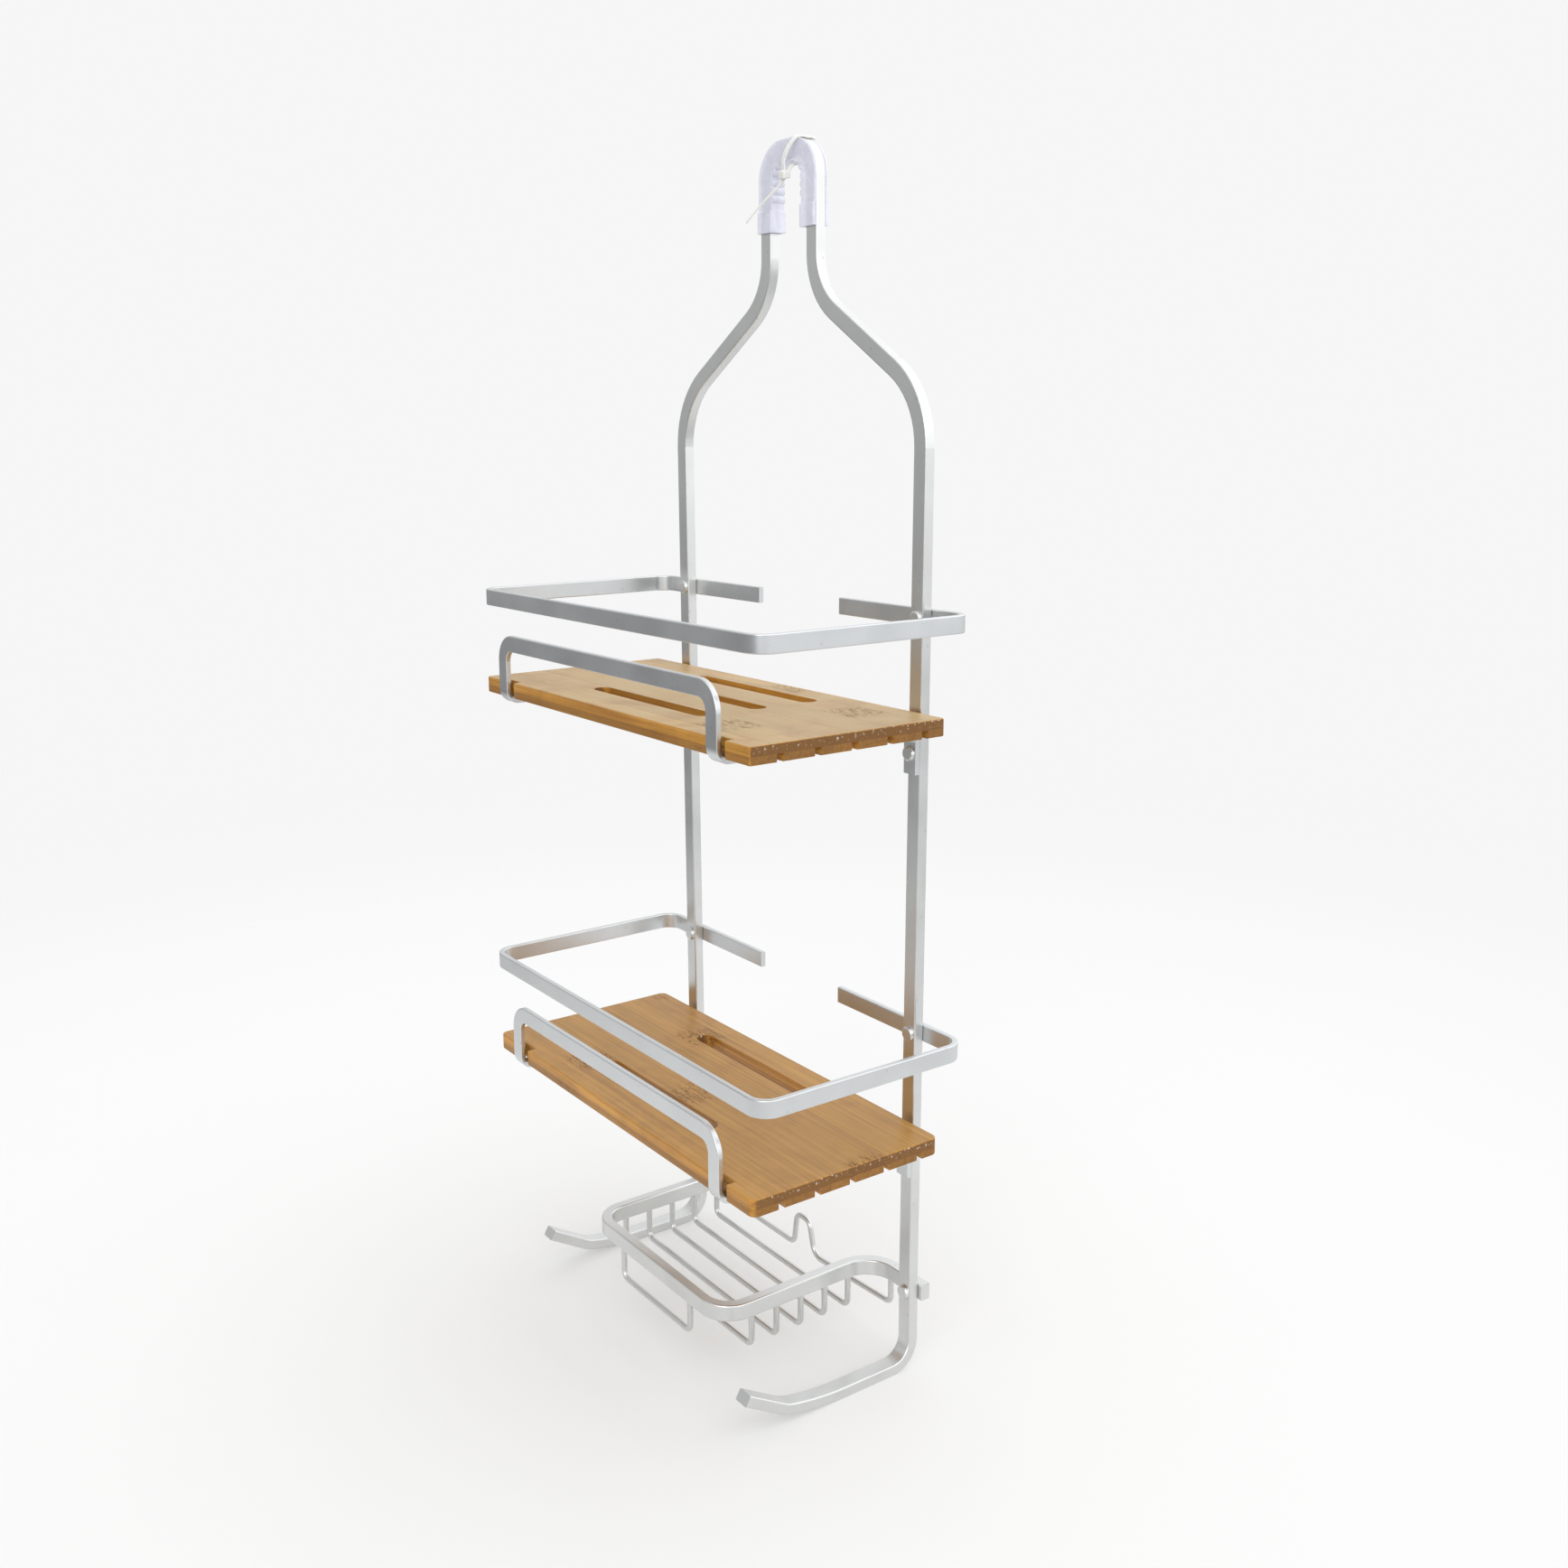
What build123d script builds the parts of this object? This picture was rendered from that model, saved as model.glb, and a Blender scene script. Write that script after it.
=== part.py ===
"""Hanging shower caddy: a bent aluminium bar frame with two slatted bamboo shelves inside flat
rail rings, and a wire soap dish, all riveted to the uprights.

Frame: +Z up, -Y towards the user, X across.  The origin is on the floor plane, in the middle of
the overall width and depth.  Lengths are millimetres.
"""
import os
from math import cos, radians, sin, tan

from build123d import *

os.makedirs("parts", exist_ok=True)

# ---------------------------------------------------------------- stock sizes
BAR_W, BAR_T = 9.5, 6.4          # frame and soap rim bar: broad side, narrow side
STRIP_W, STRIP_T = 9.5, 3.2      # rail ring and bracket strip
BAR_EASE, STRIP_EASE = 0.9, 0.6  # rounding of the bar's and the strip's long edges
WIRE_D = 3.4                     # round wire of the soap dish
SHANK_D, HEAD_D, TAIL_D = 4.8, 8.2, 6.6   # rivet shank, head in front, formed tail behind
HEAD_H, TAIL_H, HEAD_ROUND = 1.9, 1.7, 0.6   # their heights, and the share that is rounded
FIT = 0.05                       # clearance round rivets, screws and wire ends
DRILL = 60.0                     # longer than any stack that is drilled

# ---------------------------------------------------------------- depth (Y)
FRONT = 57.5                     # front face of the uprights
BACK = FRONT + BAR_T             # back face of the uprights
GUARD_Y = FRONT - 129.4          # front face of the shelf guards
RING_Y = FRONT - 126.0           # front face of the rail rings
BOARD_GAP = 0.3                  # between a board's back edge and the bracket's tabs
BOARD_Y0, BOARD_Y1 = FRONT - 126.0, FRONT - STRIP_T - BOARD_GAP   # front and back edge of a board
RIM_Y = FRONT - 101.5            # front face of the soap rim

# ---------------------------------------------------------------- frame
LOOP_TOP = 682.0                 # outer top of the hanging loop
NECK_X, LOOP_R = 20.9, 16.3      # bar centre line of the neck, and its bend over the top
NECK_Z, NECK_R = 598.9, 38.0     # corner between neck and shoulder
SHOULDER_X, SHOULDER_Z, SHOULDER_R = 111.2, 541.4, 48.0
FOOT_X, FOOT_R = 106.2, 14.5     # the uprights lean in a little towards the floor
LEAN_Z, LEAN_R = 62.0, 400.0     # below this they are plumb, so that the arms lie flat
HOOK_RISE, HOOK_RISE_R = 11.0, 170.0   # slope of the front half of a hook arm, and its long bend
HOOK_BEND_Y = FRONT - 61.0       # where the long bend is centred
TIP_Y, TIP_ANGLE, TIP_R, TIP_LENGTH = FRONT - 85.0, 30.0, 25.0, 30.5

# ---------------------------------------------------------------- shelves
BOARD_X, BOARD_T = 136.5, 9.5    # half length and thickness of a board
SHELF_PITCH = 228.0              # lower shelf to upper shelf
BOARD_TOP = 151.3                # top of the lower board
BOARD_CORNERS, BOARD_EASE = {"lower": 4.5, "upper": 1.5}, 0.8
SLOT_LENGTH, SLOT_W, SLOT_PITCH, SLOT_Y = 114.0, 11.0, 34.0, FRONT - 60.8   # the middle slot's place
GROOVE_W, GROOVE_DEPTH, GROOVE_PITCH, GROOVES = 4.2, 4.3, 22.8, 5
GROOVE_Y = FRONT - 62.4          # the middle groove, cut in the underside
NOTCH_W, NOTCH_DEPTH = 14.0, 5.0  # clears the guard legs
RING_ABOVE = 53.0                # top of the rail ring above the board's top
RING_X, RING_R, RING_GAP = 143.5, 10.4, 38.0
GUARD_ABOVE, GUARD_R = 28.5, 11.0
GUARD_BEND = 6.6                 # centre line radius at the foot of a guard leg
TAB_DROP = 24.5                  # tab below the board's underside
TAB_RIVET = 13.5
SCREW_D, SCREW_HEAD_D, SCREW_HEAD_H, SCREW_DEPTH = 3.0, 6.0, 1.8, 6.5
SCREW_END_GAP = 0.5              # left under the screw's end in its hole
SCREW_Y = (FRONT - 28.0, FRONT - 96.4)

# ---------------------------------------------------------------- soap dish
RIM_TOP, RIM_X = 50.2, 70.6      # top and outer half width of the rim
RIM_FRONT_R, RIM_REAR_R = 16.0, 20.0
RIM_END_X = 113.2
WIRE_LOW = 21.5                  # centre line of the wires' lowest run
WIRE_BEND = 4.5                  # centre line radius of the wire bends
WIRE_SOCKET = 4.0                # depth of the wire ends in the rim
SIDE_WIRES, SIDE_WIRE_PITCH, SIDE_WIRE_Y = 5, 17.2, FRONT - 78.0
FRONT_WIRE_X, REAR_WIRE_X = 36.0, 84.0
RAZOR_TOP, RAZOR_X = 42.5, 1.0   # crest of the razor notch in the rear wire, and its middle
RAZOR_FEET, RAZOR_CREST = (-9.5, 11.0), (-6.5, 6.0)   # its corners from that middle
RAZOR_RADII = [5.0, 5.4, 5.4, 9.0]
REAR_WIRE_RISE = 3.5             # the rear wire climbs this much to its right leg

# ---------------------------------------------------------------- hook cover and tie
WEB_T, FLANGE_T, FLANGE_GRIP = 3.0, 1.4, 9.5   # channel wall inside the loop, its sides, their reach
COVER_LOW, COVER_GAP, COVER_ROUND = 633.5, 0.1, 0.6
COLLAR_H, COLLAR_T = 12.0, 1.0   # thicker cuff at each lower end
RIB_PITCH, RIB_R, RIB_INSET = 4.6, 2.0, 0.5
STRAIGHT_RIBS, ARCH_RIB_ANGLES = 3, (32.0, 64.0)
TIE_W, TIE_T, TIE_CORNER, TIE_HEAD = 3.4, 1.2, 1.0, (5.4, 5.0, 4.4)
TIE_BULGE, TIE_GAP = 5.2, 0.5    # strap ahead of the bar, and its clearance behind and under the cover
TIE_X = 4.0                      # the strap crosses the loop right of its middle
TIE_TAIL, TIE_TAPER = (-27.0, -7.0, -23.0), (0.8, 0.35)   # tail's end from the head, its two widths


def upright_x(z):
    """Centre line of the right upright at a height."""
    return FOOT_X + (SHOULDER_X - FOOT_X) * max(z - LEAN_Z, 0) / (SHOULDER_Z - LEAN_Z)


def save(part, name):
    """Label a finished piece and write it to its own file."""
    part.label = name
    export_step(part, f"parts/{name}.step")


def bent_strip(points, radii, broad, narrow, ease, broad_dir):
    """Half of a bar bent round a corner list, from its start, with its mirror image across X."""
    with BuildPart() as bar:
        with BuildLine() as path:
            FilletPolyline(*points, radius=radii)
        line = path.wire()
        with BuildSketch(Plane(origin=line @ 0, x_dir=broad_dir, z_dir=line % 0)):
            RectangleRounded(broad, narrow, ease)
        sweep(path=line)
        mirror(about=Plane.YZ)
    return bar.part


def ring_top(board_top):
    return board_top + RING_ABOVE


def cut_rivet_holes(heights):
    """Drill a pair of rivet holes along Y at each height, through what the open part holds."""
    for z in heights:
        x = upright_x(z)
        with Locations((x, FRONT, z), (-x, FRONT, z)):
            Cylinder(SHANK_D / 2 + FIT, DRILL, rotation=(90, 0, 0), mode=Mode.SUBTRACT)


def rivet_pair(z, head_y, tail_y):
    """Two pan-headed rivets at one height: head at the front, tail formed behind."""
    x = upright_x(z)
    with BuildPart() as rivets:
        with Locations(Location((x, head_y, z), (90, 0, 0))):
            Cylinder(HEAD_D / 2, HEAD_H, align=(Align.CENTER, Align.CENTER, Align.MIN))
        fillet(rivets.edges().group_by(Axis.Y)[0], HEAD_H * HEAD_ROUND)
        with Locations(Location((x, tail_y, z), (90, 0, 0))):
            Cylinder(TAIL_D / 2, TAIL_H, align=(Align.CENTER, Align.CENTER, Align.MAX))
        fillet(rivets.edges().group_by(Axis.Y)[-1], TAIL_H * HEAD_ROUND)
        with Locations(Location((x, tail_y, z), (90, 0, 0))):
            Cylinder(SHANK_D / 2, tail_y - head_y, align=(Align.CENTER, Align.CENTER, Align.MIN))
        mirror(about=Plane.YZ)
    return rivets.part


# ---------------------------------------------------------------- heights that repeat
MID_Y = FRONT + BAR_T / 2
BOARDS = {"lower": BOARD_TOP, "upper": BOARD_TOP + SHELF_PITCH}
RING_RIVETS = {name: ring_top(top) - STRIP_W / 2 for name, top in BOARDS.items()}
TAB_RIVETS = {name: top - BOARD_T - TAB_RIVET for name, top in BOARDS.items()}
RIM_RIVET = RIM_TOP - BAR_W / 2

# ---------------------------------------------------------------- frame: one bar from hook tip to hook tip
ARM_Z = BAR_T / 2
TIP_Z = ARM_Z + (HOOK_BEND_Y - TIP_Y) * tan(radians(HOOK_RISE))
loop_z = LOOP_TOP - BAR_W / 2
frame_corners = [
    (0, MID_Y, loop_z),
    (NECK_X, MID_Y, loop_z),
    (NECK_X, MID_Y, NECK_Z),
    (SHOULDER_X, MID_Y, SHOULDER_Z),
    (FOOT_X, MID_Y, LEAN_Z),
    (FOOT_X, MID_Y, ARM_Z),
    (FOOT_X, HOOK_BEND_Y, ARM_Z),
    (FOOT_X, TIP_Y, TIP_Z),
    (FOOT_X, TIP_Y - TIP_LENGTH * cos(radians(TIP_ANGLE)), TIP_Z + TIP_LENGTH * sin(radians(TIP_ANGLE))),
]
frame_radii = [LOOP_R, NECK_R, SHOULDER_R, LEAN_R, FOOT_R, HOOK_RISE_R, TIP_R]
with BuildPart() as frame:
    add(bent_strip(frame_corners, frame_radii, BAR_W, BAR_T, BAR_EASE, (0, 0, 1)))
    cut_rivet_holes([*RING_RIVETS.values(), *TAB_RIVETS.values(), RIM_RIVET])
save(frame.part, "frame")

# ---------------------------------------------------------------- hook cover: soft channel inside the loop
web_in = BAR_W / 2 + WEB_T
channel_w = web_in - BAR_W / 2 + FLANGE_GRIP
channel_t = BAR_T + 2 * FLANGE_T
cover_corners = [(0, MID_Y, loop_z), (NECK_X, MID_Y, loop_z), (NECK_X, MID_Y, COVER_LOW)]
saddle_x = NECK_X - web_in
saddle_r = LOOP_R - web_in
saddle_z = loop_z - LOOP_R
with BuildPart() as cover:
    with BuildLine() as cover_line:
        FilletPolyline(*cover_corners, radius=[LOOP_R])
    with BuildSketch(Plane(origin=cover_corners[0], x_dir=(0, 0, 1), z_dir=(1, 0, 0))):
        with Locations((channel_w / 2 - web_in, 0)):
            RectangleRounded(channel_w, channel_t, COVER_ROUND)
    sweep(path=cover_line.wire())
    with Locations((NECK_X - web_in - COLLAR_T, MID_Y, COVER_LOW)):
        Box(channel_w + COLLAR_T, channel_t + 2 * COLLAR_T, COLLAR_H,
            align=(Align.MIN, Align.CENTER, Align.MIN))
    straight_ribs = [(saddle_x, saddle_z - RIB_PITCH * i) for i in range(STRAIGHT_RIBS)]
    arch_ribs = [
        (saddle_x - saddle_r + saddle_r * cos(radians(a)), saddle_z + saddle_r * sin(radians(a)))
        for a in ARCH_RIB_ANGLES
    ]
    for x, z in straight_ribs + arch_ribs:
        with Locations(Location((x, MID_Y, z), (90, 0, 0))):
            Cylinder(RIB_R, channel_t - 2 * RIB_INSET)
    mirror(about=Plane.YZ)
    past_collar = (NECK_X, MID_Y, COVER_LOW - COLLAR_H)
    add(bent_strip([*cover_corners[:2], past_collar], [LOOP_R], BAR_W + 2 * COVER_GAP,
                   BAR_T + 2 * COVER_GAP, BAR_EASE, (0, 0, 1)), mode=Mode.SUBTRACT)
save(cover.part, "hook_cover")

# ---------------------------------------------------------------- cable tie round the loop and its cover
tie_y0, tie_y1 = FRONT - TIE_BULGE, BACK + FLANGE_T + TIE_GAP           # inside of the strap
tie_z0, tie_z1 = loop_z - web_in - TIE_GAP, LOOP_TOP + COVER_GAP
head_z = tie_z0 - 2 * TIE_T
with BuildPart() as tie:
    with BuildSketch(Plane.YZ.offset(TIE_X)):
        with Locations(((tie_y0 + tie_y1) / 2, (tie_z0 + tie_z1) / 2)):
            RectangleRounded(tie_y1 - tie_y0 + 2 * TIE_T, tie_z1 - tie_z0 + 2 * TIE_T, TIE_CORNER + TIE_T)
            RectangleRounded(tie_y1 - tie_y0, tie_z1 - tie_z0, TIE_CORNER, mode=Mode.SUBTRACT)
    extrude(amount=TIE_W / 2, both=True)
    with Locations((TIE_X, tie_y0, head_z)):
        Box(*TIE_HEAD)
    fillet(tie.edges().filter_by(Axis.X).group_by(Axis.Z)[0], TIE_CORNER)
    head = Vector(TIE_X, tie_y0, head_z)
    tail = Edge.make_line(head, head + Vector(TIE_TAIL))
    for end, taper in enumerate(TIE_TAPER):
        with BuildSketch(Plane(origin=tail @ end, x_dir=(0, 1, 0), z_dir=tail % end)):
            Rectangle(TIE_W * taper, TIE_T)
    loft()
save(tie.part, "cable_tie")

# ---------------------------------------------------------------- shelves: ring, bracket, board, fixings
BRACKET_Y, TAB_Y = GUARD_Y + STRIP_T / 2, FRONT - STRIP_T / 2
for name, top in BOARDS.items():
    under = top - BOARD_T
    leg_x = upright_x(TAB_RIVETS[name])

    ring_z = ring_top(top) - STRIP_W / 2
    ring_x, ring_y, tail_y = RING_X - STRIP_T / 2, RING_Y + STRIP_T / 2, BACK + STRIP_T / 2
    ring_corners = [
        (0, ring_y, ring_z), (ring_x, ring_y, ring_z), (ring_x, tail_y, ring_z), (RING_GAP, tail_y, ring_z),
    ]
    with BuildPart() as ring:
        add(bent_strip(ring_corners, [RING_R] * 2, STRIP_W, STRIP_T, STRIP_EASE, (0, 0, 1)))
        cut_rivet_holes([ring_z])
    save(ring.part, f"{name}_rail_ring")
    save(rivet_pair(ring_z, FRONT, BACK + STRIP_T), f"{name}_ring_rivets")

    arm_z = under - STRIP_T / 2
    guard_z = top + GUARD_ABOVE - STRIP_W / 2
    bracket_corners = [
        (0, BRACKET_Y, guard_z), (leg_x, BRACKET_Y, guard_z), (leg_x, BRACKET_Y, arm_z),
        (leg_x, TAB_Y, arm_z), (leg_x, TAB_Y, under - TAB_DROP),
    ]
    with BuildPart() as bracket:
        add(bent_strip(bracket_corners, [GUARD_R, GUARD_BEND, GUARD_BEND - 1.0],
                       STRIP_W, STRIP_T, STRIP_EASE, (0, 0, 1)))
        cut_rivet_holes([TAB_RIVETS[name]])
        with Locations(*[(side * leg_x, y, arm_z) for side in (-1, 1) for y in SCREW_Y]):
            Cylinder(SCREW_D / 2 + FIT, 2 * STRIP_T, mode=Mode.SUBTRACT)
    save(bracket.part, f"{name}_shelf_bracket")
    save(rivet_pair(TAB_RIVETS[name], FRONT - STRIP_T, BACK), f"{name}_bracket_rivets")

    board_depth, board_y = BOARD_Y1 - BOARD_Y0, (BOARD_Y0 + BOARD_Y1) / 2
    with BuildPart() as board:
        with BuildSketch(Plane.XY.offset(under)):
            with Locations((0, board_y)):
                RectangleRounded(2 * BOARD_X, board_depth, BOARD_CORNERS[name])
            with Locations((0, SLOT_Y)):
                with GridLocations(0, SLOT_PITCH, 1, 3):
                    SlotOverall(SLOT_LENGTH, SLOT_W, mode=Mode.SUBTRACT)
            with Locations((-leg_x, BOARD_Y0), (leg_x, BOARD_Y0)):
                Rectangle(NOTCH_W, 2 * NOTCH_DEPTH, mode=Mode.SUBTRACT)
        extrude(amount=BOARD_T)
        top_face, low_face = board.faces().sort_by(Axis.Z)[-1], board.faces().sort_by(Axis.Z)[0]
        fillet(top_face.outer_wire().edges() + low_face.outer_wire().edges(), BOARD_EASE)
        with Locations((0, GROOVE_Y, under)):
            with GridLocations(0, GROOVE_PITCH, 1, GROOVES):
                Box(2 * RING_X, GROOVE_W, 2 * GROOVE_DEPTH, mode=Mode.SUBTRACT)
        with Locations(*[(side * leg_x, y, under) for side in (-1, 1) for y in SCREW_Y]):
            Cylinder(SCREW_D / 2 + FIT, 2 * SCREW_DEPTH, mode=Mode.SUBTRACT)
    save(board.part, f"{name}_shelf_board")

    with BuildPart() as screws:
        with Locations(*[(side * leg_x, y, under - STRIP_T) for side in (-1, 1) for y in SCREW_Y]):
            Cylinder(SCREW_HEAD_D / 2, SCREW_HEAD_H, align=(Align.CENTER, Align.CENTER, Align.MAX))
            Cylinder(SCREW_D / 2, STRIP_T + SCREW_DEPTH - SCREW_END_GAP,
                     align=(Align.CENTER, Align.CENTER, Align.MIN))
        fillet(screws.edges().group_by(Axis.Z)[0], SCREW_HEAD_H / 2)
    save(screws.part, f"{name}_board_screws")

# ---------------------------------------------------------------- soap dish
rim_z = RIM_TOP - BAR_W / 2
rim_low = RIM_TOP - BAR_W
rim_x, rim_y, rim_back = RIM_X - BAR_T / 2, RIM_Y + BAR_T / 2, BACK + BAR_T / 2
wire_top = rim_low + WIRE_SOCKET


def wire_ends():
    """Where every wire enters the underside of the rim."""
    ends = [(side * rim_x, SIDE_WIRE_Y + SIDE_WIRE_PITCH * i) for side in (-1, 1) for i in range(SIDE_WIRES)]
    ends += [(side * FRONT_WIRE_X, rim_y) for side in (-1, 1)]
    return ends + [(side * REAR_WIRE_X, rim_back) for side in (-1, 1)]


def bent_wire(points, radii, name):
    """A round wire bent round a corner list, cut square at both ends."""
    with BuildPart() as wire:
        with BuildLine() as path:
            FilletPolyline(*points, radius=radii)
        line = path.wire()
        with BuildSketch(Plane(origin=line @ 0, z_dir=line % 0)):
            Circle(WIRE_D / 2)
        sweep(path=line)
    save(wire.part, name)


rim_corners = [
    (0, rim_y, rim_z), (rim_x, rim_y, rim_z), (rim_x, rim_back, rim_z), (RIM_END_X, rim_back, rim_z),
]
with BuildPart() as rim:
    add(bent_strip(rim_corners, [RIM_FRONT_R, RIM_REAR_R], BAR_W, BAR_T, BAR_EASE, (0, 0, 1)))
    cut_rivet_holes([RIM_RIVET])
    with Locations(*[(x, y, rim_low) for x, y in wire_ends()]):
        Cylinder(WIRE_D / 2 + FIT, 2 * WIRE_SOCKET, mode=Mode.SUBTRACT)
save(rim.part, "soap_dish_rim")
save(rivet_pair(RIM_RIVET, FRONT, BACK + BAR_T), "rim_rivets")

for i in range(SIDE_WIRES):
    y = SIDE_WIRE_Y + SIDE_WIRE_PITCH * i
    bent_wire([(-rim_x, y, wire_top), (-rim_x, y, WIRE_LOW), (rim_x, y, WIRE_LOW), (rim_x, y, wire_top)],
              [WIRE_BEND] * 2, f"side_wire_{i + 1}")
bent_wire([(-FRONT_WIRE_X, rim_y, wire_top), (-FRONT_WIRE_X, rim_y, WIRE_LOW),
           (FRONT_WIRE_X, rim_y, WIRE_LOW), (FRONT_WIRE_X, rim_y, wire_top)],
          [WIRE_BEND] * 2, "front_wire")
razor_notch = [
    (RAZOR_X + RAZOR_FEET[0], WIRE_LOW), (RAZOR_X + RAZOR_CREST[0], RAZOR_TOP),
    (RAZOR_X + RAZOR_CREST[1], RAZOR_TOP), (RAZOR_X + RAZOR_FEET[1], WIRE_LOW),
]
rear_points = [
    (-REAR_WIRE_X, wire_top), (-REAR_WIRE_X, WIRE_LOW), *razor_notch,
    (REAR_WIRE_X, WIRE_LOW + REAR_WIRE_RISE), (REAR_WIRE_X, wire_top),
]
bent_wire([(x, rim_back, z) for x, z in rear_points], [WIRE_BEND, *RAZOR_RADII, WIRE_BEND], "rear_wire")
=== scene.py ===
"""Finishes and soft fittings of a hanging shower caddy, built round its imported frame.

The bars, strips, wires, rivets and boards are CAD nodes that get their finish here.  The hook
cover, the cable tie and the board screws are new meshes.  Lengths are metres in the script and
millimetres where a name ends in _mm.
"""

import math

import bmesh
import bpy
import numpy as np
from mathutils import Matrix, Vector


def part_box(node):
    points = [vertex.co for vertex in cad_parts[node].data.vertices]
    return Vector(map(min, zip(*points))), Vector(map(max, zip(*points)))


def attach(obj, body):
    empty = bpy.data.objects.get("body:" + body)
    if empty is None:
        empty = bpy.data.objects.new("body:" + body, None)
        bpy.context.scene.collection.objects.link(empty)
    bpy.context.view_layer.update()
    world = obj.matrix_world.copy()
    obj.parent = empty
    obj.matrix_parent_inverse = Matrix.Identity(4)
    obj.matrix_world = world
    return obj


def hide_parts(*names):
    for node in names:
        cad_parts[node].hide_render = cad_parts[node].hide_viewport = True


bl_info = {
    "name": "Shower Caddy",
    "version": (1, 0, 0),
    "blender": (4, 5, 0),
    "location": "View3D > Sidebar > Caddy",
    "description": "Satin aluminium, bamboo and soft plastic for a hanging shower caddy",
    "category": "Add Mesh",
}

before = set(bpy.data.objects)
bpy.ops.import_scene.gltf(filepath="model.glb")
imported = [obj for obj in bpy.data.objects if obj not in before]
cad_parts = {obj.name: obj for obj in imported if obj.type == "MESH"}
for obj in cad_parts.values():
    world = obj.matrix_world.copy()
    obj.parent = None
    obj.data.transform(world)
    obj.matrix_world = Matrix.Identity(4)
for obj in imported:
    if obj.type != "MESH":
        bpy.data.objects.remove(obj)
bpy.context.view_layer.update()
MM = 0.001

BARS = ["frame", "soap_dish_rim"]
STRIPS = ["upper_rail_ring", "lower_rail_ring", "upper_shelf_bracket", "lower_shelf_bracket"]
WIRES = [f"side_wire_{i}" for i in range(1, 6)] + ["front_wire", "rear_wire"]
RIVETS = ["upper_ring_rivets", "lower_ring_rivets", "upper_bracket_rivets", "lower_bracket_rivets",
          "rim_rivets"]
SCREWS = ["upper_board_screws", "lower_board_screws"]

# Sockets of the Mix node in its colour mode
MIX_A, MIX_B, MIX_OUT = 6, 7, 2


def linear(text):
    """An sRGB hex colour as linear RGBA."""
    srgb = np.array([int(text[i:i + 2], 16) for i in (1, 3, 5)]) / 255
    rgb = np.where(srgb <= 0.04045, srgb / 12.92, ((srgb + 0.055) / 1.055) ** 2.4)
    return (*rgb.tolist(), 1.0)


def colour_prop(name, description, text):
    return bpy.props.FloatVectorProperty(
        name=name, description=description, subtype="COLOR", size=4, min=0, max=1, default=linear(text)
    )


def length_prop(name, description, default_mm):
    return bpy.props.FloatProperty(
        name=name, description=description, subtype="DISTANCE", unit="LENGTH", min=0, default=default_mm * MM,
        precision=5,
    )


def share_prop(name, description, default):
    return bpy.props.FloatProperty(
        name=name, description=description, subtype="FACTOR", min=0, max=1, default=default
    )


def strength_prop(name, description, default):
    return bpy.props.FloatProperty(name=name, description=description, min=0, default=default)


def angle_prop(name, description, degrees):
    return bpy.props.FloatProperty(
        name=name, description=description, subtype="ANGLE", default=math.radians(degrees)
    )


# ---------------------------------------------------------------- settings


class CaddyMetal(bpy.types.PropertyGroup):
    """Bead-blasted, clear anodised aluminium."""

    bar: colour_prop("Bar", "Colour of the frame and the soap dish rim", "#D9DAD9")
    strip: colour_prop("Strip", "Colour of the rail rings and brackets", "#D6D8D9")
    wire: colour_prop("Wire", "Colour of the soap dish wires", "#D2D3D1")
    rivet: colour_prop("Rivet", "Colour of the rivet heads", "#DADBDA")
    screw: colour_prop("Screw", "Colour of the board screws", "#A9A9A6")
    roughness: share_prop("Roughness", "Roughness of the blasted surface", 0.31)
    grain: length_prop("Grain", "Size of the blasted grain", 0.55)
    grain_height: length_prop("Grain height", "Depth of the blasted grain", 0.012)
    recess: length_prop("Recess", "Half width of an arm of the screws' cross recess", 0.42)
    recess_depth: length_prop("Recess depth", "Depth of the screws' cross recess", 0.9)


class CaddyBamboo(bpy.types.PropertyGroup):
    """Laminated carbonised bamboo under a satin oil."""

    light: colour_prop("Light fibre", "Colour of the pale fibres", "#CC943C")
    dark: colour_prop("Dark fibre", "Colour of the dark fibres", "#9C6626")
    end: colour_prop("End grain", "Colour of the sawn ends", "#68431A")
    knot: colour_prop("Node marks", "Colour of the marks at a culm node", "#6A4520")
    chip: colour_prop("Chips", "Colour of the pale chips along a sawn end's top edge", "#E2DACB")
    # painted reflection: the colours that the tops go to stand partly for wear and partly for the bright room
    # reflected in the oil
    upper_top_wear_and_sheen: colour_prop("Upper top", "Colour that the upper board's top has worn to", "#BBA06E")
    lower_top_wear_and_sheen: colour_prop("Lower top", "Colour that the lower board's top has worn to", "#AE843E")
    strip_width: length_prop("Strip", "Width of one bamboo strip in the board", 24.5)
    fibre: length_prop("Fibre", "Spacing of the fibre streaks", 1.1)
    node_pitch: length_prop("Node pitch", "Distance between culm nodes along a strip", 235.0)
    node_length: length_prop("Node length", "Length of the marks at a culm node", 19.0)
    roughness: share_prop("Roughness", "Roughness of the oiled surface", 0.36)


class CaddyCover(bpy.types.PropertyGroup):
    """Soft clear channel pressed over the hanging loop."""

    tint: colour_prop("Tint", "Colour of the milky plastic", "#F1F2FB")
    # painted glow: this share sets the cover's emission in its tint, a glow that stands in for light passing
    # through the plastic
    coat_shine_and_painted_glow: share_prop("Haze", "Light scattered through the plastic from all round", 0.05)
    roughness: share_prop("Roughness", "Roughness of the moulded skin", 0.2)
    clear: share_prop("Clear", "Share of light that passes straight through", 0.42)
    web: length_prop("Web", "Wall inside the loop", 3.0)
    gap: length_prop("Gap", "Clearance between the channel and the bar", 0.1)
    edge: length_prop("Edge", "Rounding of the channel's edges", 0.9)
    collar: length_prop("Collar", "Extra thickness of the lower cuffs", 1.0)
    collar_height: length_prop("Collar height", "Height of the lower cuffs", 12.0)
    rib_pitch: length_prop("Rib pitch", "Distance between the inner ribs", 4.6)
    rib_height: length_prop("Rib height", "How far a rib stands off the web", 2.0)


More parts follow.
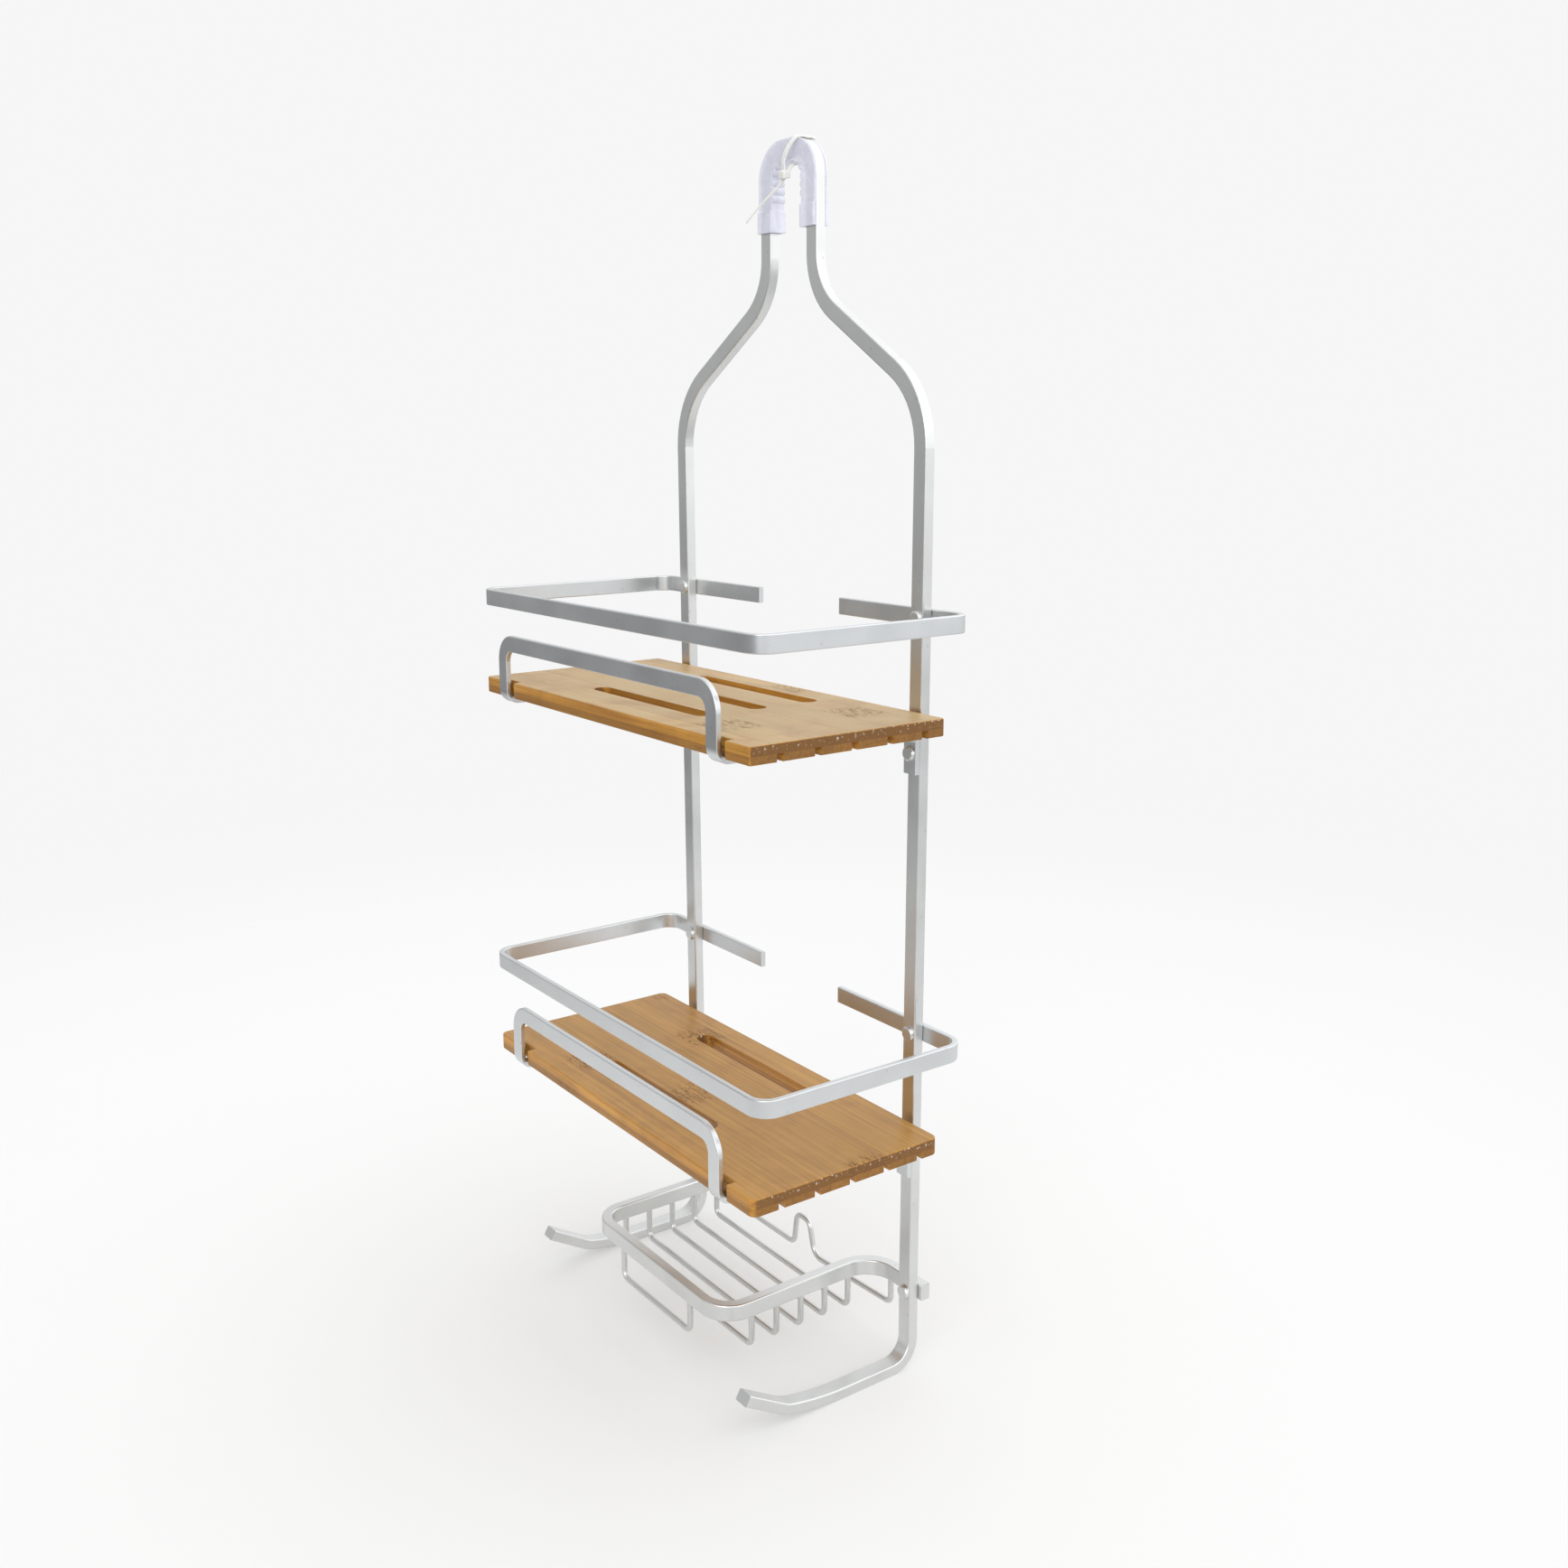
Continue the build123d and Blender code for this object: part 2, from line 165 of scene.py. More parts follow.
class CaddyTie(bpy.types.PropertyGroup):
    """Nylon cable tie round the top of the loop."""

    colour: colour_prop("Colour", "Colour of the natural nylon", "#F1F0EA")
    width: length_prop("Width", "Width of the strap", 2.7)
    thickness: length_prop("Thickness", "Thickness of the strap", 1.1)
    tooth_pitch: length_prop("Tooth pitch", "Distance between the strap's teeth", 1.1)
    tooth_height: length_prop("Tooth height", "Height of the strap's teeth", 0.22)


class CaddyStudio(bpy.types.PropertyGroup):
    """Floor, light and camera."""

    floor: colour_prop("Floor", "Colour of the pale floor", "#C2C2C1")
    backdrop: colour_prop("Backdrop", "Colour behind the floor", "#F6F6F6")
    glow: share_prop("Glow", "Light that comes up through the floor, which keeps its shadows pale", 0.3)
    level: strength_prop("Level", "Strength of the room light", 1.12)
    shade: share_prop("Shade", "Room light at the left in front", 0.57)
    bright: strength_prop("Bright", "Room light at the right behind", 1.45)
    window: strength_prop("Window", "Strength of the window", 2.2)
    floor_radius: length_prop("Floor radius", "Radius of the floor, which fades out before its rim", 1900)
    lens: bpy.props.FloatProperty(name="Lens", description="Focal length", unit="CAMERA", default=35.96)
    azimuth: angle_prop("Azimuth", "Camera's turn round the caddy", 55.269)
    elevation: angle_prop("Elevation", "Camera's height angle", 10.079)
    roll: angle_prop("Roll", "Camera's tilt about its view", -0.538)
    place: bpy.props.FloatVectorProperty(
        name="Place", description="Where the camera stands", subtype="TRANSLATION",
        default=(0.7187, -0.4843, 0.5245),
    )
    shift: bpy.props.FloatVectorProperty(
        name="Shift", description="Lens shift across and up, as a share of the sensor", size=2,
        default=(0.0359, -0.0477),
    )


GROUPS = {
    "caddy_metal": CaddyMetal,
    "caddy_bamboo": CaddyBamboo,
    "caddy_cover": CaddyCover,
    "caddy_tie": CaddyTie,
    "caddy_studio": CaddyStudio,
}


# ---------------------------------------------------------------- nodes and meshes


def add_node(tree, kind, inputs=None, **settings):
    """Add one shader node, set its attributes, then fill its inputs with values or other nodes' outputs."""
    made = tree.nodes.new("ShaderNode" + kind)
    for name, value in settings.items():
        setattr(made, name, value)
    for key, value in (inputs or {}).items():
        if isinstance(value, bpy.types.NodeSocket):
            tree.links.new(value, made.inputs[key])
        else:
            made.inputs[key].default_value = value
    return made


def new_material(name):
    """An empty material with a Principled shader and its node tree."""
    material = bpy.data.materials.new(name)
    material.use_nodes = True
    tree = material.node_tree
    tree.nodes.clear()
    shader = add_node(tree, "BsdfPrincipled")
    add_node(tree, "OutputMaterial", {"Surface": shader.outputs[0]})
    return material, tree, shader


def dress(names, material):
    """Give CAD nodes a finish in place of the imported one."""
    for name in names:
        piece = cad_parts[name]
        piece.data.materials.clear()
        piece.data.materials.append(material)


def grid_faces(rows, columns, wrap_rows=False, wrap_columns=False):
    """Quads of a rows by columns grid of vertices, joined end to end where it wraps."""
    r = np.arange(rows if wrap_rows else rows - 1)[:, None]
    c = np.arange(columns if wrap_columns else columns - 1)[None, :]
    r1, c1 = (r + 1) % rows, (c + 1) % columns
    corners = [r * columns + c, r * columns + c1, r1 * columns + c1, r1 * columns + c]
    return np.stack([np.broadcast_to(q, (r.size, c.size)).ravel() for q in corners], axis=1)


def tube_faces(rows, columns, first=0):
    """Faces of a closed tube of rings, from vertex first on: its quads, then a cap at each end."""
    ring = first + np.arange(columns)
    quads = (grid_faces(rows, columns, wrap_columns=True) + first).tolist()
    return quads + [ring.tolist(), (ring + (rows - 1) * columns).tolist()]


def add_mesh(name, vertices, faces, material, replaces):
    """Make a smooth closed mesh at the origin, ride it on the root body and let it stand for its CAD node."""
    mesh = bpy.data.meshes.new(name)
    mesh.from_pydata(vertices.reshape(-1, 3).tolist(), [], faces)
    skin = bmesh.new()
    skin.from_mesh(mesh)
    bmesh.ops.recalc_face_normals(skin, faces=skin.faces)
    skin.to_mesh(mesh)
    skin.free()
    mesh.polygons.foreach_set("use_smooth", np.ones(len(mesh.polygons), bool))
    mesh.materials.append(material)
    piece = bpy.data.objects.new(name, mesh)
    bpy.context.scene.collection.objects.link(piece)
    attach(piece, "root")
    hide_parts(replaces)


def rectangle(half_x, half_y):
    """The corners of a rectangle about the origin, anticlockwise."""
    return [(-half_x, -half_y), (half_x, -half_y), (half_x, half_y), (-half_x, half_y)]


def rounded_outline(corners, radii, parts, steps=5):
    """A closed outline with square corners rounded by quarter arcs, and its outward normals.

    Corners run anticlockwise.  With d_in and d_out the directions before and after a corner c, its
    arc of radius r is c + r (d_out - d_in) + r (d_in sin t - d_out cos t), for t from 0 to 90
    degrees.  The straight run after corner i is cut into parts[i].
    """
    corners = np.array(corners, float)
    runs = np.roll(corners, -1, axis=0) - corners
    ahead = runs / np.linalg.norm(runs, axis=1, keepdims=True)
    behind = np.roll(ahead, 1, axis=0)
    t = np.linspace(0, math.pi / 2, steps)[:, None]
    points, normals = [], []
    for i, (corner, d_in, d_out, r) in enumerate(zip(corners, behind, ahead, radii)):
        bend = d_in * np.sin(t) - d_out * np.cos(t)
        turn = math.copysign(1, d_in[0] * d_out[1] - d_in[1] * d_out[0])
        after = (i + 1) % len(corners)
        start, end = corner + r * d_out, corners[after] - radii[after] * d_out
        share = np.linspace(0, 1, parts[i] + 1)[1:-1, None]
        points += [corner + r * (d_out - d_in) + r * bend, start + (end - start) * share]
        normals += [turn * bend, np.tile([d_out[1], -d_out[0]], (len(share), 1))]
    return np.concatenate(points), np.concatenate(normals)


def edge_inset(distance, radius):
    """How far a rounded end draws in, at a distance from the end: r - sqrt(r^2 - (r - d)^2)."""
    return radius - np.sqrt(np.maximum(radius ** 2 - np.maximum(radius - distance, 0) ** 2, 0))


def spline(control, steps):
    """Uniform cubic B-spline over a control list, that starts and ends at its first and last points.

    Between points i and i + 1, at the share f of the way, it weighs the four points from i - 1 to
    i + 2 by (1 - f)^3, 3 f^3 - 6 f^2 + 4, -3 f^3 + 3 f^2 + 3 f + 1 and f^3, over 6.
    """
    control = np.array(control, float)
    p = np.concatenate([2 * control[:1] - control[1:2], control, 2 * control[-1:] - control[-2:-1]])
    t = np.linspace(0, len(control) - 1, steps)
    i = np.minimum(t.astype(int), len(control) - 2)
    f = (t - i)[:, None]
    weights = [(1 - f) ** 3, 3 * f ** 3 - 6 * f ** 2 + 4, -3 * f ** 3 + 3 * f ** 2 + 3 * f + 1, f ** 3]
    return sum(w * p[i + k] for k, w in enumerate(weights)) / 6


def smoothstep(low, high, value):
    """A smooth rise from 0 at low to 1 at high: t^2 (3 - 2 t).  It falls where low is above high."""
    t = np.clip((value - low) / (high - low), 0, 1)
    return t * t * (3 - 2 * t)


# ---------------------------------------------------------------- metal


def blasted_aluminium(name, colour, settings):
    """Aluminium blasted with fine beads and clear anodised: an even satin, with no brush lines.

    The beads leave pits of about 0.1 mm, which sparkle faintly; they are drawn about five times as
    coarse so that they show.  The tone drifts over 25 mm or so, and a small dark nick comes about
    every 10 mm.
    """
    material, tree, shader = new_material(name)
    place = add_node(tree, "TexCoord").outputs["Object"]
    fine = add_node(tree, "TexNoise", {"Vector": place, "Scale": 1 / settings.grain, "Detail": 3.0,
                                       "Roughness": 0.6})
    cloud = add_node(tree, "TexNoise", {"Vector": place, "Scale": 38.0, "Detail": 2.0, "Roughness": 0.5})
    specks = add_node(tree, "TexVoronoi", {"Vector": place, "Scale": 95.0}, feature="F1")
    nick = add_node(tree, "MapRange", {"Value": specks.outputs["Distance"], "From Min": 0.05,
                                       "From Max": 0.11, "To Min": 0.86, "To Max": 1.0})
    tone = add_node(tree, "MapRange", {"Value": cloud.outputs["Fac"], "From Min": 0.3, "From Max": 0.7,
                                       "To Min": 0.955, "To Max": 1.03})
    spark = add_node(tree, "MapRange", {"Value": fine.outputs["Fac"], "From Min": 0.3, "From Max": 0.7,
                                        "To Min": 0.965, "To Max": 1.035})
    shade = add_node(tree, "Math", {0: tone.outputs[0], 1: spark.outputs[0]}, operation="MULTIPLY")
    shade = add_node(tree, "Math", {0: shade.outputs[0], 1: nick.outputs[0]}, operation="MULTIPLY")
    tinted = add_node(tree, "VectorMath", {0: colour[:3], "Scale": shade.outputs[0]}, operation="SCALE")
    rough = add_node(tree, "MapRange", {"Value": cloud.outputs["Fac"], "From Min": 0.25, "From Max": 0.75,
                                        "To Min": settings.roughness - 0.035,
                                        "To Max": settings.roughness + 0.045})
    bump = add_node(tree, "Bump", {"Height": fine.outputs["Fac"], "Strength": 0.35,
                                   "Distance": settings.grain_height})
    tree.links.new(tinted.outputs[0], shader.inputs["Base Color"])
    tree.links.new(rough.outputs[0], shader.inputs["Roughness"])
    tree.links.new(bump.outputs[0], shader.inputs["Normal"])
    shader.inputs["Metallic"].default_value = 1.0
    return material


class CADDY_OT_bars(bpy.types.Operator):
    """Finish the bent frame bar and the soap dish rim."""

    bl_idname = "caddy.bars"
    bl_label = "Frame and Rim"

    def execute(self, context):
        settings = context.scene.caddy_metal
        dress(BARS, blasted_aluminium("blasted_aluminium_bar", settings.bar, settings))
        return {"FINISHED"}


class CADDY_OT_strips(bpy.types.Operator):
    """Finish the rail rings and the shelf brackets."""

    bl_idname = "caddy.strips"
    bl_label = "Rings and Brackets"

    def execute(self, context):
        settings = context.scene.caddy_metal
        dress(STRIPS, blasted_aluminium("blasted_aluminium_strip", settings.strip, settings))
        return {"FINISHED"}


class CADDY_OT_wires(bpy.types.Operator):
    """Finish the soap dish wires."""

    bl_idname = "caddy.wires"
    bl_label = "Wires"

    def execute(self, context):
        settings = context.scene.caddy_metal
        dress(WIRES, blasted_aluminium("blasted_aluminium_wire", settings.wire, settings))
        return {"FINISHED"}


class CADDY_OT_rivets(bpy.types.Operator):
    """Finish the rivets."""

    bl_idname = "caddy.rivets"
    bl_label = "Rivets"

    def execute(self, context):
        settings = context.scene.caddy_metal
        dress(RIVETS, blasted_aluminium("pressed_aluminium_rivet", settings.rivet, settings))
        return {"FINISHED"}


# Radii of a board screw's head, shank and point, and the height of its head
SCREW_HEAD, SCREW_SHANK, SCREW_POINT, SCREW_CROWN = 3.0 * MM, 1.5 * MM, 0.2 * MM, 1.8 * MM


def pan_screws(node, settings):
    """Four pan-headed wood screws, head down, one in each corner of their node's box.

    A screw is a surface of revolution of rings k: over the head from its middle to its rim, then in
    to the shank and up it to the point.  A cross recess is pressed in where the smaller of |x| and
    |y| is under half an arm and r is under 0.6 of the head's radius.
    """
    low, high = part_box(node)
    height, head, crown = high.z - low.z, SCREW_HEAD, SCREW_CROWN
    over = np.linspace(0.02, 1, 34)
    r = np.concatenate([head * over, [head, head * 0.97, SCREW_SHANK, SCREW_SHANK, SCREW_POINT]])
    z = np.concatenate([0.75 * crown * (1 - np.sqrt(1 - 0.98 * over ** 2)), [0.9 * crown, crown, crown],
                        [height * 0.7, height]])
    angle = np.linspace(0, 2 * math.pi, 72, endpoint=False)
    x, y = r[:, None] * np.cos(angle), r[:, None] * np.sin(angle)
    arm = smoothstep(settings.recess * 1.25, settings.recess * 0.8, np.minimum(abs(x), abs(y)))
    pressed = arm * smoothstep(0.62 * head, 0.5 * head, r)[:, None] * (z < crown)[:, None]
    screw = np.stack([x, y, z[:, None] + settings.recess_depth * pressed], axis=-1)
    places = [(i, j, low.z) for i in (low.x + head, high.x - head) for j in (low.y + head, high.y - head)]
    vertices = np.stack([screw + place for place in places])
    rings, spokes = len(r), len(angle)
    faces = []
    for first in rings * spokes * np.arange(len(places)):
        faces += tube_faces(rings, spokes, first)
    return vertices, faces


class CADDY_OT_screws(bpy.types.Operator):
    """Turn the board screws."""

    bl_idname = "caddy.screws"
    bl_label = "Board Screws"

    def execute(self, context):
        settings = context.scene.caddy_metal
        zinc = blasted_aluminium("zinc_plated_screw", settings.screw, settings)
        for node in SCREWS:
            vertices, faces = pan_screws(node, settings)
            add_mesh(f"{node}_turned", vertices, faces, zinc, node)
        return {"FINISHED"}


# ---------------------------------------------------------------- bamboo

LAYER_SHARE = 0.46               # where the two glued layers of a board meet, from its underside
LAYER_KEY = 13.7                 # sets the upper layer's strips apart from the lower one's
STREAK = 45                      # how many times longer than wide a fibre is drawn


def bamboo(name, board, settings, seed, top, sheen_and_wear_share, coat_shine_and_painted_glow):
    """Laminated bamboo, sanded and oiled: straight fibres along X, glued strips, node marks, dotted ends.

    Every pattern is solid, so a fibre that is a streak on the top is a dot on the sawn end.  Real
    fibre bundles are 0.4 to 0.8 mm apart; they are drawn a little coarser so that they show.  The
    upward faces are painted towards a paler top colour, partly wear where water has taken the oil
    off and partly a painted reflection of the bright room in the oil: wear is how far they go to it,
    in blotches that follow the stains, and haze is how much of the oil's soft shine is left.  A sawn
    end has chips of 1 to 2 mm under its top edge.
    """
    low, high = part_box(board)
    material, tree, shader = new_material(name)
    coords = add_node(tree, "TexCoord")
    place = add_node(tree, "Mapping", {"Vector": coords.outputs["Object"],
                                       "Location": (seed, -low.y, -low.z)})
    axes = add_node(tree, "SeparateXYZ", {0: place.outputs[0]})
    x, y, z = axes.outputs

    # two layers, and strips across each, the lower ones offset by half a strip
    thick = high.z - low.z
    layer = add_node(tree, "Math", {0: z, 1: thick * LAYER_SHARE}, operation="GREATER_THAN")
    seam = add_node(tree, "Math", {0: z, 1: thick * LAYER_SHARE}, operation="SUBTRACT")
    seam = add_node(tree, "Math", {0: seam.outputs[0]}, operation="ABSOLUTE")
    seam = add_node(tree, "MapRange", {"Value": seam.outputs[0], "From Min": 0.08 * MM, "From Max": 0.28 * MM,
                                       "To Min": 1.0, "To Max": 0.0})
    across = add_node(tree, "Math", {0: layer.outputs[0], 1: settings.strip_width / 2, 2: y},
                      operation="MULTIPLY_ADD")
    across = add_node(tree, "Math", {0: across.outputs[0], 1: settings.strip_width}, operation="DIVIDE")
    strip = add_node(tree, "Math", {0: across.outputs[0]}, operation="FLOOR")
    key = add_node(tree, "Math", {0: layer.outputs[0], 1: LAYER_KEY, 2: strip.outputs[0]},
                   operation="MULTIPLY_ADD")
    luck = add_node(tree, "TexWhiteNoise", {"W": key.outputs[0]}, noise_dimensions="1D")
    inside = add_node(tree, "Math", {0: across.outputs[0], 1: strip.outputs[0]}, operation="SUBTRACT")
    edge = add_node(tree, "Math", {0: inside.outputs[0], 1: 0.5}, operation="SUBTRACT")
    edge = add_node(tree, "Math", {0: edge.outputs[0]}, operation="ABSOLUTE")
    joint = add_node(tree, "MapRange", {"Value": edge.outputs[0], "From Min": 0.482, "From Max": 0.5})

    # fibres: noise drawn out along X
    shifted = add_node(tree, "CombineXYZ", {0: key.outputs[0], 1: 0.0, 2: 0.0})
    shifted = add_node(tree, "VectorMath", {0: place.outputs[0], 1: shifted.outputs[0]}, operation="ADD")
    wide = 1 / settings.fibre
    fibre_place = add_node(tree, "Mapping", {"Vector": shifted.outputs[0],
                                             "Scale": (wide / STREAK, wide, wide)})
    fibre = add_node(tree, "TexNoise", {"Vector": fibre_place.outputs[0], "Scale": 0.55, "Detail": 5.0,
                                        "Roughness": 0.62, "Distortion": 0.15})
    bundle = add_node(tree, "TexVoronoi", {"Vector": fibre_place.outputs[0], "Scale": 0.9}, feature="F1")
    dots = add_node(tree, "MapRange", {"Value": bundle.outputs["Distance"], "From Min": 0.12,
                                       "From Max": 0.42, "To Min": 1.0, "To Max": 0.0})
    cloud_place = add_node(tree, "Mapping", {"Vector": shifted.outputs[0], "Scale": (12.0, 60.0, 60.0)})
    cloud = add_node(tree, "TexNoise", {"Vector": cloud_place.outputs[0], "Scale": 1.0, "Detail": 2.0})

    # culm nodes: a band of short marks at its own place on each strip
    along = add_node(tree, "Math", {0: luck.outputs["Value"], 1: 3.0 * settings.node_pitch, 2: x},
                     operation="MULTIPLY_ADD")
    along = add_node(tree, "Math", {0: along.outputs[0], 1: settings.node_pitch}, operation="PINGPONG")
    band = add_node(tree, "MapRange", {"Value": along.outputs[0], "From Min": settings.node_length * 0.35,
                                       "From Max": settings.node_length, "To Min": 1.0, "To Max": 0.0},
                    interpolation_type="SMOOTHSTEP")
    mark_place = add_node(tree, "Mapping", {"Vector": shifted.outputs[0], "Scale": (240.0, 1000.0, 1000.0)})
    marks = add_node(tree, "TexNoise", {"Vector": mark_place.outputs[0], "Scale": 1.0, "Detail": 2.0,
                                        "Roughness": 0.7})
    marks = add_node(tree, "MapRange", {"Value": marks.outputs["Fac"], "From Min": 0.49, "From Max": 0.58})
    knot = add_node(tree, "Math", {0: band.outputs[0], 1: marks.outputs[0]}, operation="MULTIPLY")

    # the sawn ends are darker and rougher
    facing = add_node(tree, "SeparateXYZ", {0: coords.outputs["Normal"]})
    sawn = add_node(tree, "Math", {0: facing.outputs[0]}, operation="ABSOLUTE")
    sawn = add_node(tree, "MapRange", {"Value": sawn.outputs[0], "From Min": 0.7, "From Max": 0.95})

    # colour of the fibres, then the top's wear and painted reflection, then the sawn ends with their pale
    # chips
    depth = add_node(tree, "MapRange", {"Value": fibre.outputs["Fac"], "From Min": 0.3, "From Max": 0.7})
    wood = add_node(tree, "Mix", {0: depth.outputs[0], MIX_A: settings.dark, MIX_B: settings.light},
                    data_type="RGBA")
    tone = add_node(tree, "MapRange", {"Value": luck.outputs["Value"], "To Min": 0.84, "To Max": 1.06})
    patch = add_node(tree, "MapRange", {"Value": cloud.outputs["Fac"], "From Min": 0.3, "From Max": 0.7,
                                        "To Min": 0.92, "To Max": 1.06})
    tone = add_node(tree, "Math", {0: tone.outputs[0], 1: patch.outputs[0]}, operation="MULTIPLY")
    # painted reflection: only upward faces go towards the paler top colour, which is partly wear and partly
    # the room's reflection painted in
    above = add_node(tree, "MapRange", {"Value": facing.outputs[2], "From Min": 0.6, "From Max": 0.98})
    stain = add_node(tree, "TexNoise", {"Vector": place.outputs[0], "Scale": 34.0, "Detail": 4.0,
                                        "Roughness": 0.62, "Distortion": 0.4})
    sheen_and_wear = add_node(tree, "MapRange", {"Value": stain.outputs["Fac"], "From Min": 0.34, "From Max": 0.62,
                                       "To Min": 0.5 * sheen_and_wear_share, "To Max": sheen_and_wear_share})
    dirt = add_node(tree, "MapRange", {"Value": stain.outputs["Fac"], "From Min": 0.34, "From Max": 0.5,
                                       "To Min": 0.86, "To Max": 1.0})
    tone = add_node(tree, "Math", {0: tone.outputs[0], 1: dirt.outputs[0]}, operation="MULTIPLY")
    sheen_and_wear = add_node(tree, "Math", {0: sheen_and_wear.outputs[0], 1: above.outputs[0]}, operation="MULTIPLY")
    wood = add_node(tree, "Mix", {0: sheen_and_wear.outputs[0], MIX_A: wood.outputs[MIX_OUT], MIX_B: top},
                    data_type="RGBA")
    wood = add_node(tree, "VectorMath", {0: wood.outputs[MIX_OUT], "Scale": tone.outputs[0]},
                    operation="SCALE")
    end = add_node(tree, "Math", {0: layer.outputs[0], 1: 0.22, 2: 0.66}, operation="MULTIPLY_ADD")
    end = add_node(tree, "Math", {0: end.outputs[0], 1: sawn.outputs[0]}, operation="MULTIPLY")
    wood = add_node(tree, "Mix", {0: end.outputs[0], MIX_A: wood.outputs[0], MIX_B: settings.end},
                    data_type="RGBA")
    rim = add_node(tree, "MapRange", {"Value": z, "From Min": thick - 4.5 * MM, "From Max": thick - 0.6 * MM})
    chip = add_node(tree, "TexNoise", {"Vector": place.outputs[0], "Scale": 620.0, "Detail": 3.0})
    chip = add_node(tree, "MapRange", {"Value": chip.outputs["Fac"], "From Min": 0.6, "From Max": 0.7})
    chip = add_node(tree, "Math", {0: chip.outputs[0], 1: rim.outputs[0]}, operation="MULTIPLY")
    chip = add_node(tree, "Math", {0: chip.outputs[0], 1: sawn.outputs[0]}, operation="MULTIPLY")
    wood = add_node(tree, "Mix", {0: chip.outputs[0], MIX_A: wood.outputs[MIX_OUT], MIX_B: settings.chip},
                    data_type="RGBA")

    # dark marks: fibre dots, the culm nodes, and the glue lines
    dotted = add_node(tree, "Math", {0: sawn.outputs[0], 1: 0.42, 2: 0.12}, operation="MULTIPLY_ADD")
    dotted = add_node(tree, "Math", {0: dotted.outputs[0], 1: dots.outputs[0]}, operation="MULTIPLY")
    dark = add_node(tree, "Math", {0: knot.outputs[0], 1: 0.7}, operation="MULTIPLY")
    dark = add_node(tree, "Math", {0: dark.outputs[0], 1: dotted.outputs[0]}, operation="MAXIMUM")
    line = add_node(tree, "Math", {0: joint.outputs[0], 1: seam.outputs[0]}, operation="MAXIMUM")
    line = add_node(tree, "Math", {0: line.outputs[0], 1: 0.4}, operation="MULTIPLY")
    dark = add_node(tree, "Math", {0: dark.outputs[0], 1: line.outputs[0]}, operation="MAXIMUM")
    wood = add_node(tree, "Mix", {0: dark.outputs[0], MIX_A: wood.outputs[MIX_OUT], MIX_B: settings.knot},
                    data_type="RGBA")

    rough = add_node(tree, "Math", {0: sawn.outputs[0], 1: 0.3, 2: settings.roughness},
                     operation="MULTIPLY_ADD")
    rough = add_node(tree, "Math", {0: sheen_and_wear.outputs[0], 1: 0.08, 2: rough.outputs[0]},
                     operation="MULTIPLY_ADD")
    rough = add_node(tree, "Math", {0: knot.outputs[0], 1: 0.2, 2: rough.outputs[0]},
                     operation="MULTIPLY_ADD")
    height = add_node(tree, "Math", {0: knot.outputs[0], 1: -1.2, 2: fibre.outputs["Fac"]},
                      operation="MULTIPLY_ADD")
    height = add_node(tree, "Math", {0: joint.outputs[0], 1: -0.6, 2: height.outputs[0]},
                      operation="MULTIPLY_ADD")
    bump = add_node(tree, "Bump", {"Height": height.outputs[0], "Strength": 0.5, "Distance": 0.12 * MM})
    tree.links.new(wood.outputs[MIX_OUT], shader.inputs["Base Color"])
    tree.links.new(rough.outputs[0], shader.inputs["Roughness"])
    tree.links.new(bump.outputs[0], shader.inputs["Normal"])
    shader.inputs["Specular IOR Level"].default_value = 0.38
    shader.inputs["Coat Weight"].default_value = coat_shine_and_painted_glow
    shader.inputs["Coat Roughness"].default_value = 0.3
    return material


class CADDY_OT_boards(bpy.types.Operator):
    """Finish the two bamboo boards."""

    bl_idname = "caddy.boards"
    bl_label = "Bamboo Boards"

    def execute(self, context):
        settings = context.scene.caddy_bamboo
        upper, lower = "upper_shelf_board", "lower_shelf_board"
        # the share of each top's paler colour is partly wear and partly painted reflection
        dress([upper], bamboo("bamboo_upper_wear_and_sheen", upper, settings, seed=1.37, top=settings.upper_top_wear_and_sheen,
                              sheen_and_wear_share=0.9, coat_shine_and_painted_glow=0.12))
        dress([lower], bamboo("oiled_bamboo_lower", lower, settings, seed=4.81, top=settings.lower_top_wear_and_sheen,
                              sheen_and_wear_share=0.6, coat_shine_and_painted_glow=0.1))
        return {"FINISHED"}


# ---------------------------------------------------------------- hook cover

# The bar inside the cover: half its width in the loop's plane, half its depth along Y, and the
# radius of its centre line in the loop's two bends
BAR_HALF, BAR_HALF_Y, LOOP_RADIUS = 4.75 * MM, 3.2 * MM, 16.3 * MM
LEG_RIBS = np.array([2.05, 1.05, 0.05])        # ribs on the first leg, in pitches below its bend
ARCH_RIBS = np.radians([32.0, 64.0])           # and on that bend, as angles along it
RIB_WIDTHS = np.array([1, 1, 1.2])             # half widths of the leg's ribs, as shares of their height
CHANNEL_END = 0.5 * MM                         # rounding of the channel's two end faces
CUFF_STEP = 0.6 * MM                           # half the height over which a cuff swells


def loop_path(s, half_width, radius, leg, low):
    """Centre line of the hanging loop in XZ at the distances s along it, and its outward direction.

    Two upright legs at plus and minus half_width, quarter arcs of the given radius, and a level
    run between them at the top.
    """
    arc, flat = math.pi / 2 * radius, 2 * (half_width - radius)
    first = np.clip((s - leg) / radius, 0, math.pi / 2)
    second = np.clip((s - leg - arc - flat) / radius, 0, math.pi / 2)
    over, down = np.clip(s - leg - arc, 0, flat), np.maximum(s - leg - 2 * arc - flat, 0)
    x = -half_width + radius * (1 - np.cos(first)) + over + radius * np.sin(second)
    z = low + np.minimum(s, leg) + radius * np.sin(first) - radius * (1 - np.cos(second)) - down
    turn = first + second
    return np.stack([x, z], axis=1), np.stack([-np.cos(turn), np.sin(turn)], axis=1)


